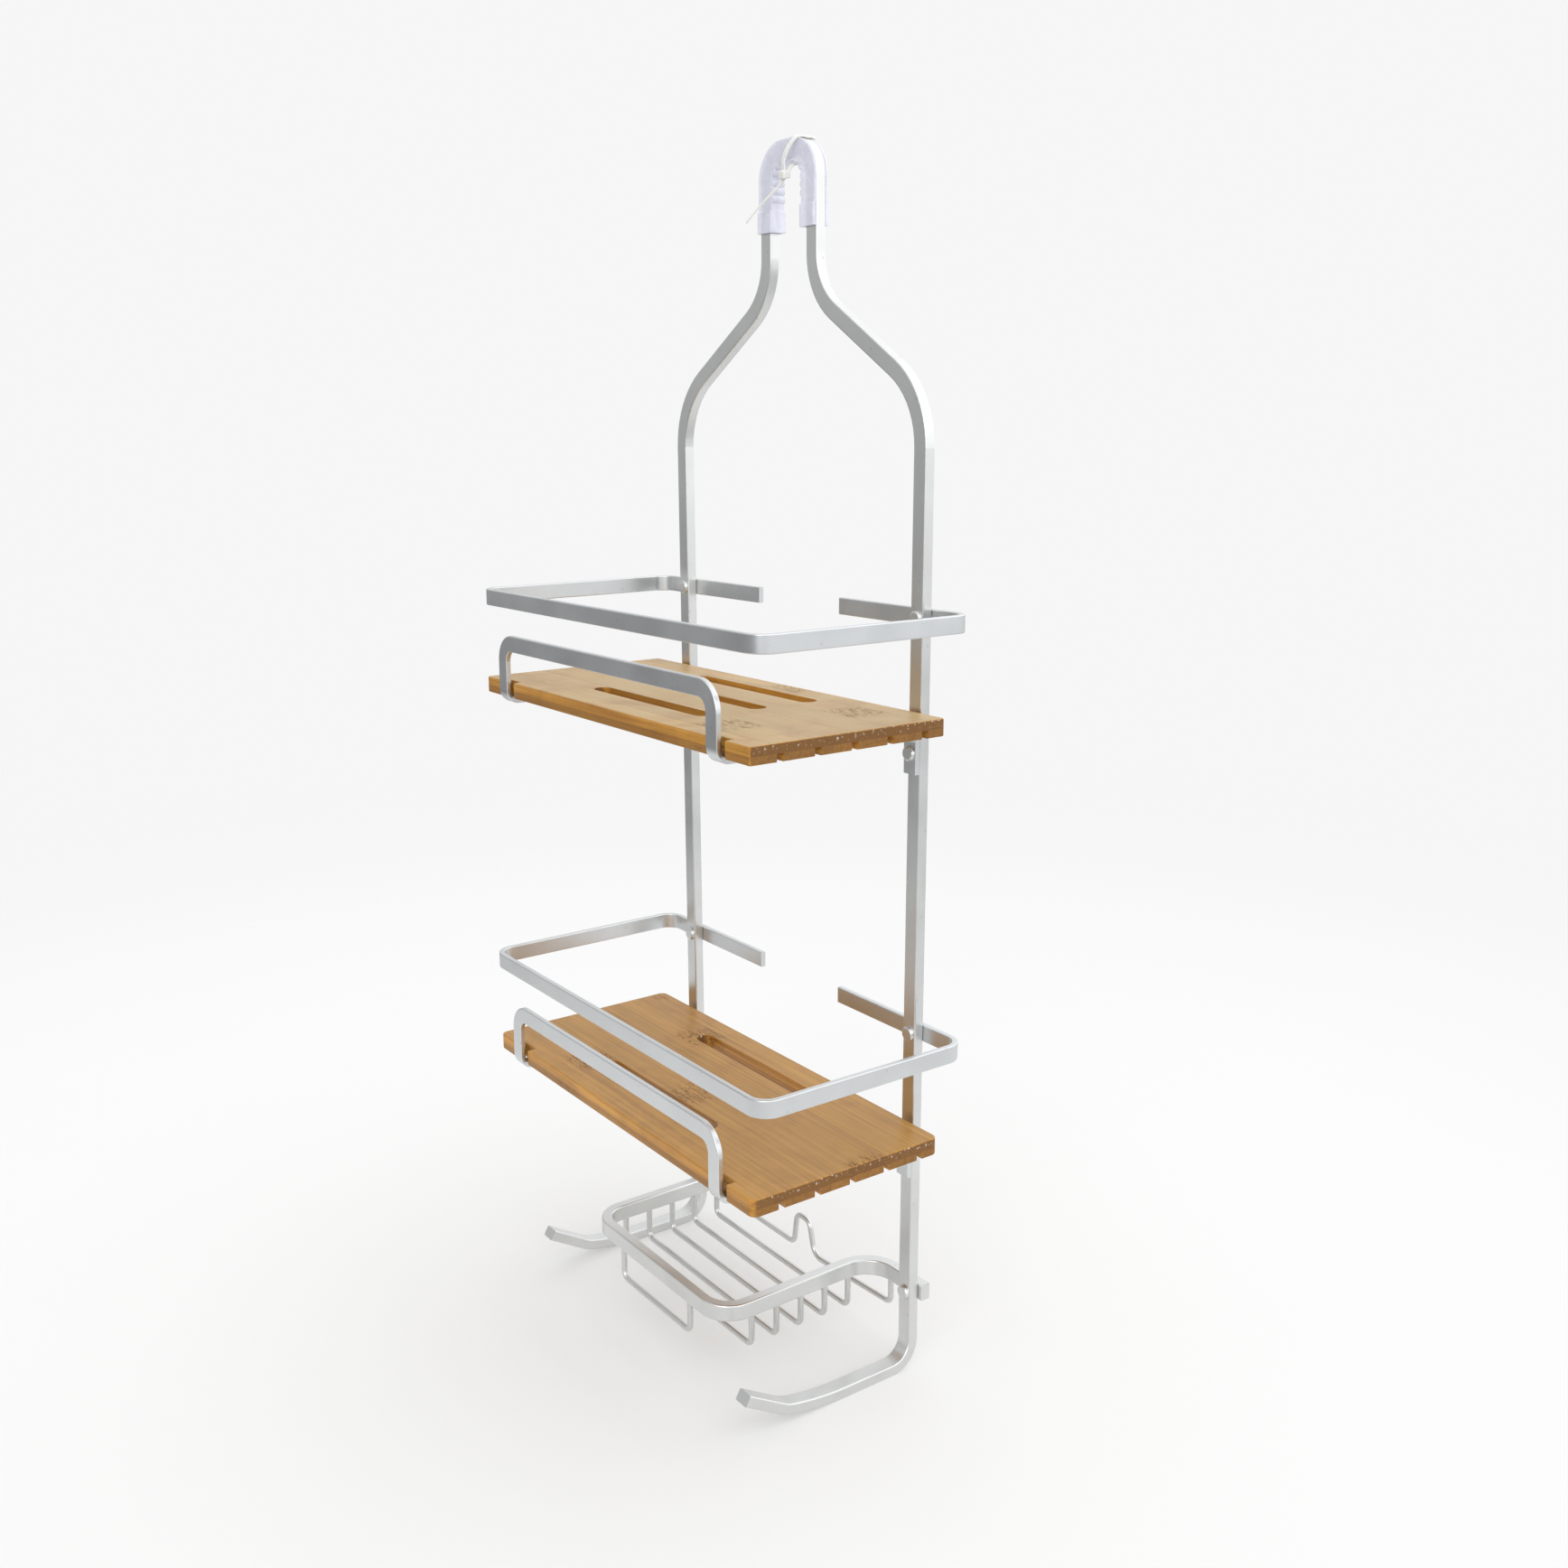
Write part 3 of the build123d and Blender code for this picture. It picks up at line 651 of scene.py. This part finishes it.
def channel_cover(settings):
    """A soft U channel swept along the hanging loop, open outwards, with ribs inside and a cuff at each end.

    At a distance s along the loop, the outline point (u, v) lies at path(s) + u outward(s), with v
    along Y.  The outer side of the outline grows by the cuff near the ends; the loop's inner face
    rises by half round ribs, h sqrt(1 - ((s - s_k) / w)^2), that fade towards its two edges.
    """
    low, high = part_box("hook_cover")
    mid_y = (low.y + high.y) / 2
    radius, half_width = LOOP_RADIUS, high.x - BAR_HALF
    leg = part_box("frame")[1].z - BAR_HALF - radius - low.z
    total = 2 * leg + math.pi * radius + 2 * (half_width - radius)

    inside, outside = BAR_HALF_Y + settings.gap, high.y - mid_y - settings.collar
    tip, back, face = BAR_HALF, -BAR_HALF - settings.gap, -BAR_HALF - settings.web
    corners = [(face, -outside), (tip, -outside), (tip, -inside), (back, -inside),
               (back, inside), (tip, inside), (tip, outside), (face, outside)]
    edge = settings.edge
    radii = [edge, edge * 0.6, edge * 0.5, edge * 0.3, edge * 0.3, edge * 0.5, edge * 0.6, edge]
    outline, normal = rounded_outline(corners, radii, [6, 1, 4, 4, 4, 1, 6, 14])
    u, v = outline.T

    lip = CHANNEL_END * (1 - np.cos(np.linspace(0, math.pi / 2, 6)))
    s = np.concatenate([lip, np.linspace(CHANNEL_END, total - CHANNEL_END, 420)[1:-1], total - lip[::-1]])
    distance = np.minimum(s, total - s)
    cuff_low, cuff_high = settings.collar_height - CUFF_STEP, settings.collar_height + CUFF_STEP
    cuff = settings.collar * smoothstep(cuff_high, cuff_low, distance)

    bend = radius / (radius + face)
    ribs = np.concatenate([leg - settings.rib_pitch * LEG_RIBS, leg + radius * ARCH_RIBS])
    widths = settings.rib_height * np.concatenate([RIB_WIDTHS, bend * np.ones(len(ARCH_RIBS))])
    rise = np.maximum(1 - ((distance[:, None] - ribs) / widths) ** 2, 0) ** 0.5
    rise = settings.rib_height * rise.max(axis=1)

    outer = (abs(v) > inside + settings.gap) | (u < back - settings.gap)
    inner_face = smoothstep(back, face + edge * 0.2, u)
    fade = np.sqrt(np.maximum(1 - (v / outside) ** 4, 0))
    inset = edge_inset(distance, CHANNEL_END)[:, None]
    across = v + (outer * v / outside) * cuff[:, None] - inset * normal[:, 1]
    out = u - inner_face * (0.5 * cuff[:, None] + rise[:, None] * fade) - inset * normal[:, 0]

    path, outward = loop_path(s, half_width, radius, leg, low.z)
    ring = path[:, None, :] + out[..., None] * outward[:, None, :]
    vertices = np.stack([ring[..., 0], mid_y + across, ring[..., 1]], axis=-1)
    return vertices, tube_faces(*out.shape)


def soft_plastic(name, settings):
    """Clear soft plastic, moulded with a fine skin: a milky lavender haze that lets the bar show faintly.

    The skin's grain is about 1 mm, and the plastic's flow clouds it over about 8 mm.  Its tint is also
    emitted all over as a faint painted glow, though the plastic is no lamp.
    """
    material, tree, shader = new_material(name)
    place = add_node(tree, "TexCoord").outputs["Object"]
    skin = add_node(tree, "TexNoise", {"Vector": place, "Scale": 900.0, "Detail": 3.0})
    flow = add_node(tree, "TexNoise", {"Vector": place, "Scale": 120.0, "Detail": 2.0, "Distortion": 0.8})
    rough = add_node(tree, "MapRange", {"Value": flow.outputs["Fac"], "From Min": 0.3, "From Max": 0.7,
                                        "To Min": settings.roughness - 0.05,
                                        "To Max": settings.roughness + 0.05})
    clear = add_node(tree, "MapRange", {"Value": flow.outputs["Fac"], "From Min": 0.3, "From Max": 0.7,
                                        "To Min": settings.clear - 0.07, "To Max": settings.clear + 0.07})
    bump = add_node(tree, "Bump", {"Height": skin.outputs["Fac"], "Strength": 0.25, "Distance": 0.05 * MM})
    tree.links.new(rough.outputs[0], shader.inputs["Roughness"])
    tree.links.new(bump.outputs[0], shader.inputs["Normal"])
    shader.inputs["Base Color"].default_value = settings.tint
    shader.inputs["IOR"].default_value = 1.5
    shader.inputs["Coat Weight"].default_value = 0.6
    shader.inputs["Coat Roughness"].default_value = 0.06
    # painted glow: the plastic emits its own tint all over, though it is no lamp
    shader.inputs["Emission Color"].default_value = settings.tint
    shader.inputs["Emission Strength"].default_value = settings.coat_shine_and_painted_glow
    through = add_node(tree, "BsdfTransparent", {"Color": linear("#F8F8FD")})
    mixed = add_node(tree, "MixShader", {0: clear.outputs[0], 1: shader.outputs[0], 2: through.outputs[0]})
    output = next(n for n in tree.nodes if n.type == "OUTPUT_MATERIAL")
    tree.links.new(mixed.outputs[0], output.inputs["Surface"])
    return material


def natural_nylon(name, settings):
    """Natural nylon 66, moulded: off-white and slightly waxy, with a grain of about 0.7 mm."""
    material, tree, shader = new_material(name)
    place = add_node(tree, "TexCoord").outputs["Object"]
    skin = add_node(tree, "TexNoise", {"Vector": place, "Scale": 1500.0, "Detail": 2.0})
    cloud = add_node(tree, "TexNoise", {"Vector": place, "Scale": 160.0, "Detail": 2.0})
    tone = add_node(tree, "MapRange", {"Value": cloud.outputs["Fac"], "To Min": 0.94, "To Max": 1.03})
    tinted = add_node(tree, "VectorMath", {0: settings.colour[:3], "Scale": tone.outputs[0]},
                      operation="SCALE")
    rough = add_node(tree, "MapRange", {"Value": cloud.outputs["Fac"], "To Min": 0.3, "To Max": 0.44})
    bump = add_node(tree, "Bump", {"Height": skin.outputs["Fac"], "Strength": 0.2, "Distance": 0.03 * MM})
    tree.links.new(tinted.outputs[0], shader.inputs["Base Color"])
    tree.links.new(rough.outputs[0], shader.inputs["Roughness"])
    tree.links.new(bump.outputs[0], shader.inputs["Normal"])
    shader.inputs["Coat Weight"].default_value = 0.2
    shader.inputs["Coat Roughness"].default_value = 0.25
    shader.inputs["IOR"].default_value = 1.53
    return material


class CADDY_OT_cover(bpy.types.Operator):
    """Mould the soft cover of the hanging loop."""

    bl_idname = "caddy.cover"
    bl_label = "Hook Cover"

    def execute(self, context):
        settings = context.scene.caddy_cover
        vertices, faces = channel_cover(settings)
        add_mesh("hook_cover_channel", vertices, faces, soft_plastic("clear_soft_plastic", settings),
                 "hook_cover")
        return {"FINISHED"}


# The strap's course from its root in the head, under the loop, up the back, over the top and down the front
# through the head to its tail's end.  Millimetres from the middle of the loop's top.
STRAP_ROUTE_MM = [
    (5.5, -7.8, -19.6), (5.3, -6.0, -16.8), (5.2, -4.2, -14.6), (5.2, 0, -13.5), (5.6, 4.4, -14.0),
    (6.6, 6.9, -12.6), (8.6, 6.3, -8.5), (10.6, 6.0, -4.6), (12.0, 6.9, -1.2), (12.2, 3.4, -0.4),
    (11.9, -0.6, -0.7), (11.3, -4.6, 0.1), (9.4, -7.4, -2.9), (7.0, -9.3, -7.6), (5.4, -10.3, -12.2),
    (4.8, -10.2, -16.6), (5.4, -9.3, -20.2), (4.0, -9.2, -23.4), (-1.5, -10.6, -27.6),
    (-8.5, -12.6, -32.4), (-15.5, -14.6, -37.9), (-21.4, -16.2, -43.4),
]
HEAD_POINT = 16                  # the route's point in the middle of the head
STRAP_ACROSS = (0.98, 0.0, -0.2)   # the way that the strap's width would lie if its route allowed
STRAP_STEPS = 560
STRAP_CORNER, STRAP_END = 0.28 * MM, 0.5 * MM   # rounding of the strap's long edges and of its ends
TAIL_NARROWER, TAIL_THINNER = 0.66, 0.45   # what the tail's tip has lost of the strap's width and thickness
TEETH_INSET = (0.74, 0.86)       # where the teeth end, as shares of the strap's half width
HEAD_HALF = (2.7 * MM, 2.5 * MM, 2.2 * MM)
HEAD_CORNER, HEAD_EDGE = 0.8 * MM, 0.7 * MM
SLOT_PLAY, SLOT_CORNER = 0.2 * MM, 0.2 * MM


def strap(settings):
    """A flat strap along its route, its width as near to STRAP_ACROSS as the route allows.

    A point (a, b) of its outline lies at path(s) + a wide(s) + b thick(s), and both shrink along the
    tail.  Teeth are a saw of the distance s along the strap, h (s / pitch mod 1), on the face inside
    the loop.  Returns the vertices, faces and the place and axes of the head.
    """
    low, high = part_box("hook_cover")
    top = np.array([0, (low.y + high.y) / 2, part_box("frame")[1].z])
    path = top + MM * spline(STRAP_ROUTE_MM, STRAP_STEPS)
    along = np.gradient(path, axis=0)
    length = np.linalg.norm(along, axis=1)
    along /= length[:, None]
    across = np.array(STRAP_ACROSS)
    wide = across - (along @ across)[:, None] * along
    wide /= np.linalg.norm(wide, axis=1, keepdims=True)
    thick = np.cross(along, wide)
    s = np.cumsum(length)
    last = len(STRAP_ROUTE_MM) - 1
    point = np.linspace(0, last, STRAP_STEPS)
    taper = 0.45 * smoothstep(HEAD_POINT + 0.4, HEAD_POINT + 1.2, point)
    taper += 0.55 * smoothstep(HEAD_POINT + 0.6, last, point)
    taper = taper[:, None]

    half, deep = settings.width / 2, settings.thickness / 2
    outline, _ = rounded_outline(rectangle(half, deep), [STRAP_CORNER] * 4, [8, 2, 8, 2])
    inset = edge_inset(np.minimum(s, s[-1] - s), STRAP_END)[:, None]
    a = outline[:, 0] * (1 - TAIL_NARROWER * taper) * (1 - inset / half)
    b = outline[:, 1] * (1 - TAIL_THINNER * taper) * (1 - 0.8 * inset / deep)
    tooth_in, tooth_out = half * np.array(TEETH_INSET)
    toothed = smoothstep(tooth_out, tooth_in, abs(outline[:, 0])) * (outline[:, 1] > 0)
    b = b - toothed * settings.tooth_height * ((s / settings.tooth_pitch) % 1)[:, None] * (1 - taper)
    vertices = path[:, None] + a[..., None] * wide[:, None] + b[..., None] * thick[:, None]
    at = int(round(HEAD_POINT / last * (STRAP_STEPS - 1)))
    return vertices, tube_faces(*a.shape), (path[at], np.stack([wide[at], thick[at], along[at]]))


def tie_head(settings, place, axes):
    """The tie's head: a rounded block with a slot through it for the strap.

    A ring of the surface is an outline at a height, and the rings run up the outside, in over the
    top, down the slot and back out under the bottom.  At the angle t round an edge of radius r, the
    outline is drawn in by r (1 - sin t) and the height is less by r (1 - cos t).
    """
    half_x, half_y, half_z = HEAD_HALF
    slot_x, slot_y = settings.width / 2 + SLOT_PLAY, settings.thickness / 2 + SLOT_PLAY
    parts = [5, 5, 5, 5]
    block, normal = rounded_outline(rectangle(half_x, half_y), [HEAD_CORNER] * 4, parts)
    slot, _ = rounded_outline(rectangle(slot_x, slot_y), [SLOT_CORNER] * 4, parts)
    t = np.linspace(0, math.pi / 2, 6)[:, None, None]
    outside = block - HEAD_EDGE * (1 - np.sin(t)) * normal
    height = np.broadcast_to(half_z - HEAD_EDGE * (1 - np.cos(t)), (len(t), len(block), 1))
    lower = np.concatenate([outside, -height], axis=-1)
    upper = np.concatenate([outside, height], axis=-1)[::-1]
    mouth = [np.column_stack([slot * (1 + grow), np.full(len(slot), z)])
             for grow, z in ((0.12, half_z), (0.0, half_z * 0.9), (0.0, -half_z * 0.9), (0.12, -half_z))]
    rings = np.concatenate([lower, upper, np.stack(mouth)])
    vertices = place + rings @ axes
    return vertices, grid_faces(len(rings), len(block), wrap_rows=True, wrap_columns=True).tolist()


class CADDY_OT_tie(bpy.types.Operator):
    """Make the cable tie round the loop."""

    bl_idname = "caddy.tie"
    bl_label = "Cable Tie"

    def execute(self, context):
        settings = context.scene.caddy_tie
        nylon = natural_nylon("natural_nylon", settings)
        vertices, faces, (place, axes) = strap(settings)
        add_mesh("tie_strap", vertices, faces, nylon, "cable_tie")
        vertices, faces = tie_head(settings, place, axes)
        add_mesh("tie_head", vertices, faces, nylon, "cable_tie")
        return {"FINISHED"}


# ---------------------------------------------------------------- floor, light, camera

FLOOR_FADE = (0.14, 0.75)        # where the floor starts and ends its fade, as shares of its radius
BRIGHT_WAY = (0.72, 0.55, 0.42)  # towards the bright side of the room
WINDOW_WAY = (0.55, -0.79, 0.3)  # and towards its window


def floor_surface(settings):
    """A pale disc that fades out at its rim.  r and the angle are its two parameters."""
    rings, spokes = 40, 96
    r = settings.floor_radius * np.linspace(0.01, 1, rings)[:, None]
    angle = np.linspace(0, 2 * math.pi, spokes, endpoint=False)[None, :]
    vertices = np.stack([r * np.cos(angle), r * np.sin(angle), 0 * r * angle], axis=-1)
    faces = grid_faces(rings, spokes, wrap_columns=True).tolist() + [list(range(spokes))]
    mesh = bpy.data.meshes.new("studio_floor")
    mesh.from_pydata(vertices.reshape(-1, 3).tolist(), [], faces)
    material, tree, shader = new_material("matt_floor")
    place = add_node(tree, "TexCoord").outputs["Object"]
    cloud = add_node(tree, "TexNoise", {"Vector": place, "Scale": 6.0, "Detail": 3.0})
    tone = add_node(tree, "MapRange", {"Value": cloud.outputs["Fac"], "To Min": 0.985, "To Max": 1.005})
    tinted = add_node(tree, "VectorMath", {0: settings.floor[:3], "Scale": tone.outputs[0]},
                      operation="SCALE")
    tree.links.new(tinted.outputs[0], shader.inputs["Base Color"])
    shader.inputs["Roughness"].default_value = 0.9
    shader.inputs["Specular IOR Level"].default_value = 0.05
    shader.inputs["Emission Strength"].default_value = settings.glow
    shader.inputs["Emission Color"].default_value = linear("#FFFFFE")
    away = add_node(tree, "VectorMath", {0: place}, operation="LENGTH")
    fade_from, fade_to = settings.floor_radius * np.array(FLOOR_FADE)
    fade = add_node(tree, "MapRange", {"Value": away.outputs["Value"], "From Min": fade_from,
                                       "From Max": fade_to}, interpolation_type="SMOOTHSTEP")
    nothing = add_node(tree, "BsdfTransparent")
    mixed = add_node(tree, "MixShader", {0: fade.outputs[0], 1: shader.outputs[0], 2: nothing.outputs[0]})
    output = next(n for n in tree.nodes if n.type == "OUTPUT_MATERIAL")
    tree.links.new(mixed.outputs[0], output.inputs["Surface"])
    mesh.materials.append(material)
    floor = bpy.data.objects.new("studio_floor", mesh)
    bpy.context.scene.collection.objects.link(floor)


def room_light(settings):
    """Even pale room light by direction: bright to the right and behind, greyer at the left in front.

    It dips a little at the horizon's underside, and a tall window stands near the camera's right.
    """
    world = bpy.data.worlds.new("studio_room")
    bpy.context.scene.world = world
    world.use_nodes = True
    tree = world.node_tree
    tree.nodes.clear()
    place = add_node(tree, "TexCoord").outputs["Generated"]
    side = add_node(tree, "VectorMath", {0: place, 1: BRIGHT_WAY}, operation="DOT_PRODUCT")
    level = add_node(tree, "MapRange", {"Value": side.outputs["Value"], "From Min": -0.75, "From Max": 0.75,
                                        "To Min": settings.shade, "To Max": settings.bright},
                     interpolation_type="SMOOTHSTEP")
    height = add_node(tree, "SeparateXYZ", {0: place}).outputs[2]
    dip = add_node(tree, "MapRange", {"Value": height, "From Min": -0.18, "From Max": 0.05, "To Min": 0.42,
                                      "To Max": 1.0})
    level = add_node(tree, "Math", {0: level.outputs[0], 1: dip.outputs[0]}, operation="MULTIPLY")
    window = add_node(tree, "VectorMath", {0: place, 1: Vector(WINDOW_WAY).normalized()},
                      operation="DOT_PRODUCT")
    window = add_node(tree, "MapRange", {"Value": window.outputs["Value"], "From Min": 0.93,
                                         "From Max": 0.985, "To Min": 0.0, "To Max": settings.window},
                      interpolation_type="SMOOTHSTEP")
    level = add_node(tree, "Math", {0: level.outputs[0], 1: window.outputs[0]}, operation="ADD")
    level = add_node(tree, "Math", {0: level.outputs[0], 1: settings.level}, operation="MULTIPLY")
    room = add_node(tree, "Background", {"Color": linear("#F6F7F8"), "Strength": level.outputs[0]})
    seen = add_node(tree, "Background", {"Color": settings.backdrop, "Strength": 1.0})
    eye = add_node(tree, "LightPath").outputs["Is Camera Ray"]
    both = add_node(tree, "MixShader", {0: eye, 1: room.outputs[0], 2: seen.outputs[0]})
    add_node(tree, "OutputWorld", {"Surface": both.outputs[0]})


def studio_camera(settings):
    """A camera at its place, turned by azimuth, elevation and roll."""
    a, e, r = settings.azimuth, settings.elevation, settings.roll
    back = Vector((math.sin(a) * math.cos(e), -math.cos(a) * math.cos(e), math.sin(e)))
    right = Vector((math.cos(a), math.sin(a), 0))
    up = back.cross(right)
    right, up = right * math.cos(r) + up * math.sin(r), up * math.cos(r) - right * math.sin(r)
    data = bpy.data.cameras.new("studio_camera")
    data.sensor_width = 36.0
    data.lens = settings.lens
    data.shift_x, data.shift_y = settings.shift
    data.clip_start, data.clip_end = 0.01, 50.0
    camera = bpy.data.objects.new("studio_camera", data)
    turn = Matrix((right, up, back)).transposed().to_4x4()
    camera.matrix_world = Matrix.Translation(settings.place) @ turn
    bpy.context.scene.collection.objects.link(camera)
    bpy.context.scene.camera = camera


class CADDY_OT_stage(bpy.types.Operator):
    """Lay the pale floor, light the room and set the camera."""

    bl_idname = "caddy.stage"
    bl_label = "Studio"

    def execute(self, context):
        settings = context.scene.caddy_studio
        context.scene.view_settings.view_transform = "Standard"
        floor_surface(settings)
        room_light(settings)
        studio_camera(settings)
        return {"FINISHED"}


# ---------------------------------------------------------------- panel and registration

OPERATORS = [
    CADDY_OT_bars,
    CADDY_OT_strips,
    CADDY_OT_wires,
    CADDY_OT_rivets,
    CADDY_OT_screws,
    CADDY_OT_boards,
    CADDY_OT_cover,
    CADDY_OT_tie,
    CADDY_OT_stage,
]


class CADDY_PT_panel(bpy.types.Panel):
    """Lists the pieces of the caddy with their settings."""

    bl_label = "Shower Caddy"
    bl_idname = "CADDY_PT_panel"
    bl_space_type = "VIEW_3D"
    bl_region_type = "UI"
    bl_category = "Caddy"

    def draw(self, context):
        for operator in OPERATORS:
            self.layout.operator(operator.bl_idname)
        for name, group in GROUPS.items():
            box = self.layout.box()
            for prop in group.__annotations__:
                box.prop(getattr(context.scene, name), prop)


def register():
    for cls in (*GROUPS.values(), *OPERATORS, CADDY_PT_panel):
        bpy.utils.register_class(cls)
    for name, group in GROUPS.items():
        setattr(bpy.types.Scene, name, bpy.props.PointerProperty(type=group))


def unregister():
    for name in GROUPS:
        delattr(bpy.types.Scene, name)
    for cls in (CADDY_PT_panel, *reversed(OPERATORS), *reversed(list(GROUPS.values()))):
        bpy.utils.unregister_class(cls)


def main():
    """Make every piece in order."""
    register()
    for operator in OPERATORS:
        group, name = operator.bl_idname.split(".")
        if getattr(getattr(bpy.ops, group), name)() != {"FINISHED"}:
            raise RuntimeError(f"{operator.bl_idname} didn't finish")


if __name__ == "__main__":
    main()
